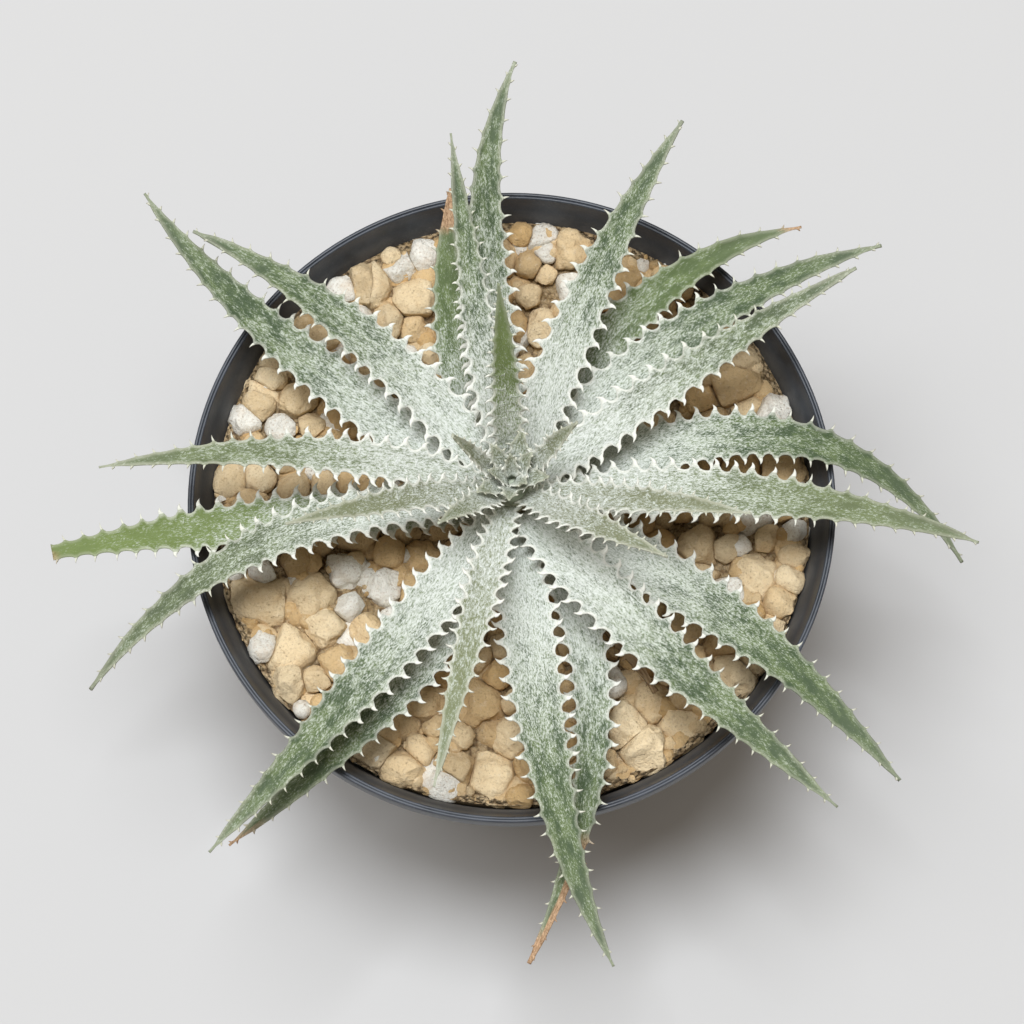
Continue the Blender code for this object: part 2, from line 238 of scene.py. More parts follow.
# Teeth: the half width of a leaf that bears them full grown, and how fast narrower ones lose size
TOOTHED_HALF = 3.6 * MM
TOOTH_SHRINK = 1.4

# Thickness of the blades in mm, and how far a leaf reaches that is thin
THICK = 2.2
THIN = 1.3
THIN_REACH = 60
HEART_THICK = 0.6
DRY_THICK = 0.7

# The heart's leaves: reach, width, height, climb to the crest and to the tip, and start, in mm,
# each as the first leaf's value and how much it falls towards the last
HEART = ((10, 7), (4.6, 1.8), (138, -3.5), (9, 2), (11, 3), (1.7, 1.3))
HEART_HEADING = 75
HEART_TURN = 137.5

# Studio
FLOOR_RADIUS = 6 * METRE
SKY = (1.0, 0.89, 0.77, 1)
LAMP_COLOUR = (0.97, 1.0, 1.045)
TOP_LAMP = (-0.07, 0.14, 2.4)
TOP_SIZE = 0.65
SIDE_LAMP = (-0.7, 0.0, 2.33)
SIDE_SIZE = 0.8
SENSOR = 36
LENS = 129.3
LOOK_AT = (0.06 * MM, -2.6 * MM, POT_HEIGHT)

# Mesh fineness
ROW_STEP = 0.62 * MM
COLUMNS = (0, 0.24, 0.46, 0.66, 0.84, 1)
RUNGS = (0.22, 0.45, 0.68, 0.88)
POT_STEPS = 160
HOLE_SIDES = 32
SOIL_STEPS = 96
STEM_STEPS = 48
POT_SHARP = math.radians(38)
STONE_SHARP = math.radians(50)


class Value:
    """A socket for use in Python expressions; each operator adds the Math node it stands for."""

    def __init__(self, shade, socket):
        self.shade = shade
        self.socket = socket

    def math(self, operation, *others, clamp=False):
        settings = {"operation": operation, "use_clamp": clamp}
        return self.shade.node("ShaderNodeMath", settings, dict(enumerate((self, *others))))

    def __add__(self, other):
        return self.math("ADD", other)

    __radd__ = __add__

    def __mul__(self, other):
        return self.math("MULTIPLY", other)

    __rmul__ = __mul__

    def __sub__(self, other):
        return self.math("SUBTRACT", other)

    def __rsub__(self, other):
        return self * -1 + other

    def __truediv__(self, other):
        return self.math("DIVIDE", other)

    def __pow__(self, other):
        return self.math("POWER", other)

    def __abs__(self):
        return self.math("ABSOLUTE")

    def clamped(self):
        return self.math("ADD", 0, clamp=True)

    def fraction(self):
        return self.math("FRACT")

    def rise(self, low, high):
        """0 below low, 1 above high and smooth between them."""
        settings = {"interpolation_type": "SMOOTHSTEP"}
        return self.shade.node("ShaderNodeMapRange", settings, {0: self, 1: low, 2: high})

    def fall(self, low, high):
        return 1 - self.rise(low, high)


class Shade:
    """A material in the making."""

    def __init__(self, name):
        self.material = bpy.data.materials.new(name)
        self.material.use_nodes = True
        self.tree = self.material.node_tree
        self.surface = self.tree.nodes["Principled BSDF"]

    def put(self, socket, value):
        if isinstance(value, Value):
            self.tree.links.new(value.socket, socket)
        elif socket.type == "RGBA":
            socket.default_value = (*value, 1)
        else:
            socket.default_value = value

    def node(self, kind, settings=None, inputs=None, output=0):
        made = self.tree.nodes.new(kind)
        for key, value in (settings or {}).items():
            setattr(made, key, value)
        for key, value in (inputs or {}).items():
            self.put(made.inputs[key], value)
        return Value(self, made.outputs[output])

    def parts(self, vector):
        """The x, y and z of a vector."""
        return [self.node("ShaderNodeSeparateXYZ", {}, {0: vector}, output=index) for index in range(3)]

    def attribute(self, name):
        """The three numbers of a vector stored on the mesh."""
        return self.parts(self.node("ShaderNodeAttribute", {"attribute_name": name}, output=1))

    def place(self, x, y, z):
        return self.node("ShaderNodeCombineXYZ", {}, {0: x, 1: y, 2: z})

    def position(self, unit=MM):
        """The point on the object, in this unit."""
        point = self.node("ShaderNodeTexCoord", {}, output=3)
        return self.node("ShaderNodeVectorMath", {"operation": "SCALE"}, {0: point, 3: round(1 / unit)})

    def noise(self, vector, scale=1, detail=3, roughness=0.55):
        inputs = {"Vector": vector, "Scale": scale, "Detail": detail, "Roughness": roughness}
        return self.node("ShaderNodeTexNoise", {}, inputs)

    def cells(self, vector, scale=1, feature="F1"):
        return self.node("ShaderNodeTexVoronoi", {"feature": feature}, {"Vector": vector, "Scale": scale})

    def mix(self, share, first, second):
        """A colour between two colours."""
        settings = {"data_type": "RGBA", "clamp_factor": True}
        return self.node("ShaderNodeMix", settings, {0: share, 6: first, 7: second}, output=2)

    def bump(self, height, depth):
        """Relief with this depth in metres."""
        return self.node("ShaderNodeBump", {}, {"Height": height, "Distance": depth, "Strength": 1.0})

    def finish(self, colour, roughness, normal=None, specular=0.5):
        self.put(self.surface.inputs["Base Color"], colour)
        self.put(self.surface.inputs["Roughness"], roughness)
        self.surface.inputs["Specular IOR Level"].default_value = specular
        if normal:
            self.put(self.surface.inputs["Normal"], normal)
        return self.material


def leaf_material(leaves):
    """Green skin under a silver scurf of fibres, marks of other leaves' teeth, cream margins."""
    shade = Shade("leaf_scurf")
    along, across, share = shade.attribute("leaf_map")
    edge, tooth, tone = shade.attribute("leaf_edge")
    green, dried, young = shade.attribute("leaf_tone")
    bare = shade.attribute("leaf_bare")[0]

    slant = across * 0.5
    fibres = shade.noise(shade.place(along * 0.55 + slant * 1.5, across * 1.5, tone * 40), 1.0, 4, 0.75)
    felt = shade.noise(shade.place(along * 1.25 - slant * 2, across * 2.9, tone * 23), 1.0, 4, 0.8)
    patches = shade.noise(shade.place(along * 0.17, across * 0.45, tone * 60), 1.0, 4, 0.6)
    lines = abs(fibres - 0.5).fall(0.0, 0.05)

    cell = along / leaves.tooth_pitch + tone * 7 + across.rise(-0.01, 0.01) * 0.5
    around = (cell.fraction() - 0.5) * leaves.tooth_pitch
    inwards = edge - 1.9 - (patches - 0.5) * 2.2
    distance = (around * around + inwards * inwards) ** 0.5
    seen = edge.rise(0.3, 0.9) * share.fall(0.5, 0.8) * patches.rise(0.40, 0.62)
    ring = abs(distance - 1.6).fall(0.0, 0.38) * around.fall(-0.6, 1.0) * seen
    hollow = distance.fall(0.4, 1.8) * seen

    outer = share.rise(0.14, 0.8) * (0.72 + green * 0.28) * (1 - young * 0.4)
    cover = 1.16 - outer * 0.82 - bare * 0.5 - patches.fall(0.34, 0.60) * (0.22 + outer * 0.2)
    marks = ring * 0.26 - hollow * 0.16
    worn = cover + (felt - 0.5) * (2.3 + outer * 1.6) - lines * (0.5 + outer * 0.1) + marks
    scurf = worn.rise(0.15, 1.0)

    skin = shade.mix(patches.rise(0.35, 0.65), leaves.deep_green, leaves.green)
    skin = shade.mix(bare.rise(0.02, 0.35) * 0.7, skin, leaves.bright_green)
    skin = shade.mix(young * 0.9, skin, leaves.olive)
    silver = shade.mix(felt.rise(0.3, 0.62), leaves.silver_shade, leaves.silver)
    silver = shade.mix(outer * 0.85, silver, leaves.dull_silver)
    blade = shade.mix(scurf, skin, silver)
    blade = shade.mix(share.rise(0.65, 1.0) * 0.35, blade, leaves.tip_grey)
    horn = shade.mix(share.rise(0.4, 0.85), leaves.cream, leaves.horn)
    blade = shade.mix(edge.fall(0.1, 0.95) * (0.8 - outer * 0.62), blade, horn)
    horn_tip = shade.mix(tooth.rise(0.5, 1.0) * share.rise(0.4, 0.9) * 0.6, horn, leaves.needle_brown)
    colour = shade.mix(tooth.rise(0.02, 0.2), blade, horn_tip)
    withered = shade.mix(felt.rise(0.3, 0.7), leaves.dry_dark, leaves.dry_light)
    colour = shade.mix(dried, colour, withered)

    height = felt * 0.7 + fibres * 0.4 + ring * 0.35 - hollow * 0.5
    roughness = 0.66 + scurf * 0.2 - tooth.rise(0.05, 0.3) * 0.25
    return shade.finish(colour, roughness, shade.bump(height, 0.3 * MM), 0.3)


def stone_material():
    """Crumbly pumice: each stone's own tint, ochre stains, dust, dark specks, and pits darkened with
    painted shade.
    """
    shade = Shade("pumice")
    tint = shade.node("ShaderNodeAttribute", {"attribute_name": "stone_tint"}, output=0)
    point = shade.position()
    stains = shade.noise(point, 0.16, 4, 0.65)
    grain = shade.noise(point, 0.75, 5, 0.8)
    pits = shade.cells(point, 0.8)
    sand = shade.noise(point, 1.9, 2, 0.8)
    colour = shade.mix(stains.rise(0.45, 0.75) * 0.35, tint, (0.55, 0.33, 0.13))
    colour = shade.mix(grain.rise(0.5, 0.8) * 0.5, colour, (0.92, 0.82, 0.64))
    # Painted shade: the pits, sunk in the relief, are darkened in colour; the sand's dark specks are the
    # stone's own.
    hole = pits.fall(0.05, 0.26) * grain.fall(0.35, 0.6)
    dark = (hole * 0.45 + sand.fall(0.34, 0.47) * 0.4).clamped()
    colour = shade.mix(dark, colour, (0.42, 0.28, 0.15))
    height = grain * 1.1 + sand * 0.3 + stains * 0.8 - hole * 0.3
    return shade.finish(colour, 0.93, shade.bump(height, 0.75 * MM), 0.2)


def soil_material():
    shade = Shade("soil")
    point = shade.position()
    clods = shade.noise(point, 0.35, 5, 0.7)
    crumbs = shade.noise(point, 1.6, 3, 0.8)
    crumb_gaps = shade.cells(point, 0.95)
    colour = shade.mix(clods.rise(0.35, 0.65), (0.40, 0.27, 0.13), (0.68, 0.51, 0.30))
    colour = shade.mix(crumbs.rise(0.5, 0.7) * 0.6, colour, (0.82, 0.68, 0.46))
    # Painted shade: the gaps between the crumbs, sunk in the relief, are darkened in colour.
    colour = shade.mix(crumb_gaps.rise(0.45, 0.8) * 0.7, colour, (0.17, 0.10, 0.05))
    return shade.finish(colour, 0.97, shade.bump(clods + crumbs - crumb_gaps * 1.5, 1.4 * MM), 0.15)


def pot_material(pot):
    """Dark moulded plastic: faint turning lines, scuffs on the rim, dust inside."""
    shade = Shade("pot_plastic")
    point = shade.position()
    x, y, z = shade.parts(point)
    far = (x * x + y * y) ** 0.5
    middle_of_wall = z * 0.1833 + 51.4
    specks = shade.noise(point, 2.4, 4, 0.8)
    smears = shade.noise(point, 0.12, 4, 0.6)
    inner = (far - middle_of_wall).fall(-0.5, 0.1) * z.rise(60, 90)
    dust = (specks.rise(0.52, 0.72) * 0.75 + smears.rise(0.4, 0.7) * 0.35).clamped()
    scuffs = specks.rise(0.56, 0.7) * z.rise(112, 119) * 0.35
    colour = shade.mix(smears.rise(0.35, 0.7), pot.colour, pot.worn_colour)
    colour = shade.mix(scuffs, colour, (0.20, 0.21, 0.22))
    colour = shade.mix(inner * z.fall(108, 117) * (0.2 + dust * 0.5), colour, (0.26, 0.235, 0.195))
    rings = shade.noise(shade.place(far * 0.2, 0.0, z * 2.2), 1.0, 1, 0.4)
    height = rings * 0.6 + specks * 0.3
    roughness = 0.36 + smears * 0.22 + inner * 0.3
    return shade.finish(colour, roughness, shade.bump(height, 0.08 * MM), 0.5)


def stem_material():
    shade = Shade("stem_bark")
    point = shade.position()
    fibres = shade.noise(point, 0.8, 4, 0.7)
    height = shade.parts(point)[2]
    colour = shade.mix(fibres.rise(0.35, 0.65), (0.16, 0.12, 0.06), (0.42, 0.38, 0.26))
    colour = shade.mix(height.rise(128, 134), colour, (0.44, 0.49, 0.38))
    return shade.finish(colour, 0.85, shade.bump(fibres, 0.5 * MM), 0.25)


def dry_material():
    shade = Shade("dry_leaf")
    along, across, _ = shade.attribute("leaf_map")
    fibres = shade.noise(shade.place(along * 0.25, across * 2.6, 3.0), 1.0, 4, 0.7)
    blotches = shade.noise(shade.place(along * 0.2, across * 0.4, 8.0), 1.0, 2, 0.5)
    colour = shade.mix(fibres.rise(0.3, 0.7), (0.13, 0.075, 0.035), (0.42, 0.29, 0.16))
    colour = shade.mix(blotches.rise(0.5, 0.7) * 0.5, colour, (0.30, 0.23, 0.15))
    return shade.finish(colour, 0.8, shade.bump(fibres, 0.3 * MM), 0.3)


def straw_material():
    shade = Shade("straw")
    fibres = shade.noise(shade.position(), 1.5, 3, 0.7)
    colour = shade.mix(fibres.rise(0.3, 0.7), (0.22, 0.14, 0.06), (0.55, 0.41, 0.22))
    return shade.finish(colour, 0.75, shade.bump(fibres, 0.1 * MM), 0.3)


def floor_material(studio):
    shade = Shade("studio_floor")
    mottle = shade.noise(shade.position(METRE), 2.0, 2, 0.5)
    colour = shade.mix(mottle * 0.25, studio.floor_colour, (0.56, 0.557, 0.548))
    return shade.finish(colour, 0.9, specular=0.1)


def placed(name, data):
    """A new object in the scene."""
    item = bpy.data.objects.new(name, data)
    bpy.context.scene.collection.objects.link(item)
    return item


def new_piece(name, mesh, material, *nodes, slot=None):
    """Adds a finished mesh to the scene, riding on the plant's one body."""
    piece = placed(name, mesh)
    piece.data.materials.append(material)
    if nodes:
        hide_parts(*nodes)
    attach(piece, "root")
    return piece


def wall_radius(height):
    """The pot's inner wall at this height."""
    foot, top = BASE_RADIUS - WALL, RIM_RADIUS - RIM_LIP - WALL
    return foot + (top - foot) * height / POT_HEIGHT


def turned(name, profile, steps, material, *nodes, slot=None):
    """A turned piece; the profile runs down the outer side from top to bottom."""
    mesh = bpy.data.meshes.new(name)
    bm = bmesh.new()
    points = [bm.verts.new((radius, 0, height)) for radius, height in profile]
    for upper, lower in zip(points, points[1:]):
        bm.edges.new((upper, lower))
    bm.to_mesh(mesh)
    bm.free()
    piece = new_piece(name, mesh, material, *nodes, slot=slot)
    screw = piece.modifiers.new("turn", "SCREW")
    screw.steps = steps
    screw.render_steps = steps
    screw.use_merge_vertices = True
    screw.merge_threshold = 0.00001
    screw.use_smooth_shade = True
    return piece


def finished_mesh(item):
    """An object's mesh as it looks with its modifiers."""
    graph = bpy.context.evaluated_depsgraph_get()
    return bpy.data.meshes.new_from_object(item.evaluated_get(graph))


def applied(piece):
    """The piece's mesh with its modifiers applied."""
    finished = finished_mesh(piece)
    piece.modifiers.clear()
    piece.data = finished
    return finished


def arc(centre, radius, start, stop, count):
    """Points on an arc in the profile plane, from one angle to another in degrees."""
    angles = [math.radians(start + (stop - start) * index / count) for index in range(count + 1)]
    return [(centre[0] + radius * math.cos(a), centre[1] + radius * math.sin(a)) for a in angles]


def make_pot(pot):
    band = POT_HEIGHT - RIM_BAND
    inner = (RIM_RADIUS - RIM_THICK + INNER_BEAD, POT_HEIGHT - INNER_DROP)
    profile = [(wall_radius(band - RIM_BAND / 2), band - RIM_BAND / 2)]
    profile += arc(inner, INNER_BEAD, 180, 40, 4)
    profile += arc((RIM_RADIUS - BEAD, POT_HEIGHT - BEAD), BEAD, 120, 0, 5)
    profile += arc((RIM_RADIUS - BAND_EDGE, band + BAND_EDGE), BAND_EDGE, 0, -90, 2)
    profile += [(wall_radius(band) + WALL, band - 2 * BAND_EDGE)]
    profile += [(wall_radius(h * MM) + WALL, h * MM) for h in WALL_RINGS]
    profile += arc((BASE_RADIUS - FOOT_ROUND, FOOT_ROUND), FOOT_ROUND, 0, -90, 4)
    profile += [(0, 0), (0, FLOOR)]
    profile += [(wall_radius(FLOOR), FLOOR), (wall_radius(100 * MM), 100 * MM), profile[0]]
    piece = turned("pot_shell", profile, POT_STEPS, pot_material(pot), "pot", slot="pot")
    cutters = bpy.data.collections.new("drain_cutters")
    bpy.context.scene.collection.children.link(cutters)
    for index in range(DRAIN_HOLES):
        angle = math.tau * index / DRAIN_HOLES
        bpy.ops.mesh.primitive_cylinder_add(
            vertices=HOLE_SIDES, radius=DRAIN_RADIUS, depth=3 * FLOOR,
            location=(DRAIN_RING * math.cos(angle), DRAIN_RING * math.sin(angle), FLOOR / 2),
        )
        cutter = bpy.context.object
        for owner in list(cutter.users_collection):
            owner.objects.unlink(cutter)
        cutters.objects.link(cutter)
    drains = piece.modifiers.new("drains", "BOOLEAN")
    drains.operation = "DIFFERENCE"
    drains.operand_type = "COLLECTION"
    drains.collection = cutters
    finished = applied(piece)
    finished.shade_smooth()
    finished.set_sharp_from_angle(angle=POT_SHARP)
    for cutter in list(cutters.objects):
        bpy.data.objects.remove(cutter)
    bpy.data.collections.remove(cutters)


def stone_places():
    """Where the stones lie, as (x, y, radius): the chosen ones, then others where there is room."""
    places = []
    for x, y, radius in WHITE_STONES + TAN_STONES + BROWN_STONES:
        inwards = min(1, (STONE_REACH / MM - STONE_SPREAD[1] * radius) / math.hypot(x, y))
        places.append((x * inwards * MM, y * inwards * MM, radius * MM))
    dice = random.Random(STONE_SEED)
    for size, count in STONE_SIZES:
        for _ in range(count):
            for _ in range(STONE_TRIES):
                radius = size * MM * dice.uniform(*STONE_SPREAD)
                angle = dice.uniform(0, math.tau)
                far = math.sqrt(dice.random()) * STONE_REACH
                x, y = far * math.cos(angle), far * math.sin(angle)
                near_stem = STEM_CLEAR + radius > far
                too_big = far < LOW_ZONE and size > STONE_SIZES[1][0]
                if near_stem or too_big or far + radius * STONE_SPREAD[1] > STONE_REACH:
                    continue
                if all(math.hypot(x - a, y - b) > STONE_CROWDING * (radius + c) for a, b, c in places):
                    places.append((x, y, radius))
                    break
    return places


def heap(point):
    """Where a point of the level gravel lies once it is heaped up, as far from the wall as before."""
    far = max(math.hypot(point.x, point.y), MM)
    share = min(1, max(0, (far - LOW_ZONE) / (HEAP_FULL - LOW_ZONE)))
    share *= share * (3 - 2 * share)
    depth = min(1, max(0, (point.z - HEAP_FLOOR) / (SOIL_TOP - HEAP_FLOOR)))
    rise = (HEAP + HEAP_TILT * point.y / RIM_RADIUS) * share * depth
    out = 1 + rise * share * (wall_radius(POT_HEIGHT) - wall_radius(0)) / POT_HEIGHT / far
    return Vector((point.x * out, point.y * out, point.z + rise))


def rough_stone(centre, radius, detail, seed, squat=STONE_SQUAT):
    """The points and faces of one stone: a ball with flats knocked off it and its skin roughened."""
    bm = bmesh.new()
    bmesh.ops.create_icosphere(bm, subdivisions=detail, radius=1)
    points = np.array([vert.co for vert in bm.verts])
    faces = np.array([[vert.index for vert in face.verts] for face in bm.faces])
    bm.free()
    rng = np.random.default_rng(seed)
    flats = rng.normal(size=(FLAT_COUNT, 3))
    flats /= np.linalg.norm(flats, axis=1)[:, None]
    levels = rng.uniform(*FLAT_PLACES, FLAT_COUNT)
    for flat, level in zip(flats, levels):
        over = np.maximum(points @ flat - level, 0)
        points = points - np.outer(over * FLATTENED, flat)
    shift = Vector((seed * 3.7, seed * 1.3, 0))
    rough = [noise.fractal(Vector(p * ROUGH_SCALE) + shift, 0.9, 2.1, 5) for p in points]
    lumps = [abs(noise.noise(Vector(p * LUMP_SCALE) - shift)) for p in points]
    points = points * (1.0 + ROUGHNESS * np.array(rough) + LUMPINESS * np.array(lumps))[:, None]
    points = points * rng.uniform(*STRETCH, 3) * np.array([1, 1, squat]) * radius
    turn = rng.uniform(0, math.tau)
    cos, sin = math.cos(turn), math.sin(turn)
    spin = np.array([[cos, -sin, 0], [sin, cos, 0], [0, 0, 1]])
    return points @ spin.T + np.array(centre), faces


def kept_apart(points, centre, radius, others):
    """A stone's points, stopped short of its neighbours, so that a narrow gap stays between them."""
    for other, reach in others:
        apart = np.array(other - centre)
        far = np.linalg.norm(apart)
        is_neighbour = 0 < far < NEIGHBOURHOOD * (radius + reach)
        if is_neighbour:
            apart /= far
            over = (points - np.array(centre)) @ apart - (far * radius / (radius + reach) - STONE_GAP)
            rounded = np.maximum(over + STONE_ROUND, 0) ** 2 / (4 * STONE_ROUND)
            points = points - np.outer(np.where(over > STONE_ROUND, over, rounded), apart)
    return points


def inside_wall(points):
    """The points, drawn in where they would reach the pot's wall."""
    far = np.hypot(points[:, 0], points[:, 1])
    share = np.minimum(1, (wall_radius(points[:, 2]) - WALL_CLEAR) / np.maximum(far, MM))
    return points * np.stack([share, share, np.ones_like(share)], -1)


def mesh_of(name, parts, tints=None):
    """One mesh from many (points, faces) parts, with a colour stored for each part."""
    mesh = bpy.data.meshes.new(name)
    points, faces, colours, first = [], [], [], 0
    for index, (part_points, part_faces) in enumerate(parts):
        points.append(inside_wall(part_points))
        faces.append(part_faces + first)
        first += len(part_points)
        if tints:
            colours.append(np.tile((*tints[index], 1.0), (len(part_points), 1)))
    mesh.from_pydata(np.vstack(points).tolist(), [], np.vstack(faces).tolist())
    if tints:
        layer = mesh.attributes.new("stone_tint", "FLOAT_COLOR", "POINT")
        layer.data.foreach_set("color", np.vstack(colours).astype(np.float32).ravel())
    mesh.shade_smooth()
    mesh.set_sharp_from_angle(angle=STONE_SHARP)
    return mesh


def stone_tint(gravel, place, dice):
    """A stone's colour: white, tan or brown where it is one of the chosen ones, else drawn."""
    white, tan = len(WHITE_STONES), len(WHITE_STONES) + len(TAN_STONES)
    if place < white or (place >= CHOSEN and dice.random() < gravel.white_share):
        pale = dice.uniform(0.86, 1.0)
        return tuple(part * pale for part in gravel.white)
    dark = dice.random() * 0.5 if place < tan else 0.3 + 0.7 * dice.random()
    shade = dice.uniform(0.86, 1.08)
    return tuple((a + (b - a) * dark) * shade for a, b in zip(gravel.tan, gravel.brown))


def make_stones(gravel, dice, skin):
    parts, tints, stones = [], [], []
    for x, y, radius in stone_places():
        drop = LOW_DROP if math.hypot(x, y) < LOW_ZONE else 0
        height = min(STONE_TOP - 0.8 * radius, SOIL_TOP + 0.5 * radius) - drop
        height += dice.uniform(*STONE_LIFT) * MM
        stones.append((heap(Vector((x, y, height))), radius))
    for index, (centre, radius) in enumerate(stones):
        detail = 4 if radius > BIG_STONE else 3
        points, faces = rough_stone(centre, radius * STONE_FULL, detail, index + 1)
        parts.append((kept_apart(points, centre, radius, stones), faces))
        tints.append(stone_tint(gravel, index, dice))
    new_piece("gravel_stones", mesh_of("gravel_stones", parts, tints), skin, "gravel", slot="gravel")


def make_grit(gravel, dice, skin):
    """The stones under the others, and the small ones between them."""
    parts, tints = [], []
    for index in range(gravel.under_count + gravel.grit_count):
        under = index < gravel.under_count
        size = dice.uniform(*UNDER_SIZES) if under else GRIT_LEAST + GRIT_RANGE * dice.random() ** 1.5
        size *= MM
        nearest = CRUMBS_FROM if index % CRUMB_ROW == 0 else 0
        far = math.sqrt(nearest + (1 - nearest) * dice.random()) * (STONE_REACH - 1.1 * size)
        angle = dice.uniform(0, math.tau)
        if far < STEM_CLEAR + size:
            continue
        drop = LOW_DROP if far < LOW_ZONE else 0
        height = SOIL_TOP - drop + dice.uniform(*(UNDER_HEIGHTS if under else GRIT_HEIGHTS)) * MM
        centre = heap(Vector((far * math.cos(angle), far * math.sin(angle), height)))
        detail = 2 if size > BIG_GRIT else 1
        parts.append(rough_stone(centre, size, detail, GRIT_SEED + index, GRIT_SQUAT))
        tints.append(stone_tint(gravel, CHOSEN, dice))
    new_piece("gravel_grit", mesh_of("gravel_grit", parts, tints), skin, slot="gravel")


def make_soil():
    top = SOIL_TOP - SOIL_DROP
    foot = FLOOR + GAP
    hole = STEM_CLEAR - 2.4 * MM
    profile = [(hole, top)]
    profile += [(wall_radius(top) * share, top) for share in SOIL_RINGS]
    profile += [(wall_radius(foot) - GAP, foot), (0, foot), (0, HOLE_DEPTH), (hole, HOLE_DEPTH)]
    profile += [profile[0]]
    soil = turned("soil", profile, SOIL_STEPS, soil_material(), slot="gravel")
    for vert in applied(soil).vertices:
        vert.co = heap(vert.co)
        far = math.hypot(vert.co.x, vert.co.y)
        if vert.co.z > HEAP_FLOOR and far > BANKED_FROM * wall_radius(vert.co.z):
            vert.co.z += BANK


def make_gravel(gravel):
    """Stones, the grit between them and the soil under them."""
    dice = random.Random(gravel.seed)
    skin = stone_material()
    make_stones(gravel, dice, skin)
    make_grit(gravel, dice, skin)
    make_soil()


def make_straws(gravel):
    """Dry bits of straw and root on the gravel."""
    dice = random.Random(gravel.seed + 5)
    straw = straw_material()
    for index in range(gravel.straw_count):
        far, angle = dice.uniform(*STRAW_PLACES) * MM, dice.uniform(0, math.tau)
        length, heading = dice.uniform(*STRAW_LENGTHS) * MM, dice.uniform(0, math.tau)
        curve = bpy.data.curves.new(f"straw_{index:02d}", "CURVE")
        curve.dimensions = "3D"
        curve.bevel_depth = dice.uniform(*STRAW_RADII) * MM
        curve.bevel_resolution = 2
        curve.use_fill_caps = True
        spline = curve.splines.new("POLY")
        spline.points.add(STRAW_JOINTS)
        bend = dice.uniform(-0.9, 0.9)
        x, y = far * math.cos(angle), far * math.sin(angle)
        for step, point in enumerate(spline.points):
            turn = heading + bend * step / STRAW_JOINTS
            point.co = (x, y, STONE_TOP + 0.3 * MM + 0.8 * MM * math.sin(step * 0.8 + index), 1)
            x += length / STRAW_JOINTS * math.cos(turn)
            y += length / STRAW_JOINTS * math.sin(turn)
        line = placed(curve.name, curve)
        mesh = finished_mesh(line)
        bpy.data.objects.remove(line)
        mesh.shade_smooth()
        new_piece(curve.name, mesh, straw, slot="gravel")


def stem_radius(height):
    (top_radius, top), (foot_radius, foot) = STEM_TOP, STEM_FOOT
    return foot_radius + (top_radius - foot_radius) * (height - foot) / (top - foot)


def leaf_line(leaf, s):
    """Points of a leaf's middle line, for an array s that runs from 0 at the stem to 1 at the tip."""
    heading, sweep, curl, reach, _, height, crest, tip = leaf[:8]
    start = leaf[8] if len(leaf) > 8 else stem_radius(min(height * MM, STEM_TOP[1])) + 1.2 * GAP
    far = start + (reach * MM - start) * s
    angle = np.radians(heading + sweep * s**curl)
    heights = (height, height + 0.6 * crest, height + crest, height + tip)
    weights = ((1 - s) ** 3, 3 * s * (1 - s) ** 2, 3 * s * s * (1 - s), s**3)
    up = sum(weight * value for weight, value in zip(weights, heights)) * MM
    return np.stack([far * np.cos(angle), far * np.sin(angle), up], -1)


def leaf_axes(leaf, s):
    """The middle points, and the directions to the left and up."""
    step = 0.01
    along = leaf_line(leaf, np.minimum(s + step, 1)) - leaf_line(leaf, np.maximum(s - step, 0))
    along /= np.linalg.norm(along, axis=-1)[..., None]
    left = np.cross([0.0, 0.0, 1.0], along)
    left /= np.linalg.norm(left, axis=-1)[..., None]
    return leaf_line(leaf, s), left, np.cross(along, left)


def leaf_length(leaf):
    points = leaf_line(leaf, np.linspace(0, 1, 61))
    return np.linalg.norm(np.diff(points, axis=0), axis=1).sum()


def ease(value, low, high):
    """0 below low, 1 above high and smooth between them."""
    share = np.clip((value - low) / (high - low), 0, 1)
    return share * share * (3 - 2 * share)


def swell(s):
    """How wide the blade is at s, as a share of its full width."""
    base = BASE_WIDTH_SHARE + (1 - BASE_WIDTH_SHARE) * ease(s, 0, FULL_WIDTH_AT)
    return base * (1 - s**3)


def tooth_scale(s):
    """Teeth are small at the base, longest in the middle and short at the tip."""
    return min(1, 0.45 + 2.6 * s) * min(1, 0.35 + 1.9 * (1 - s))


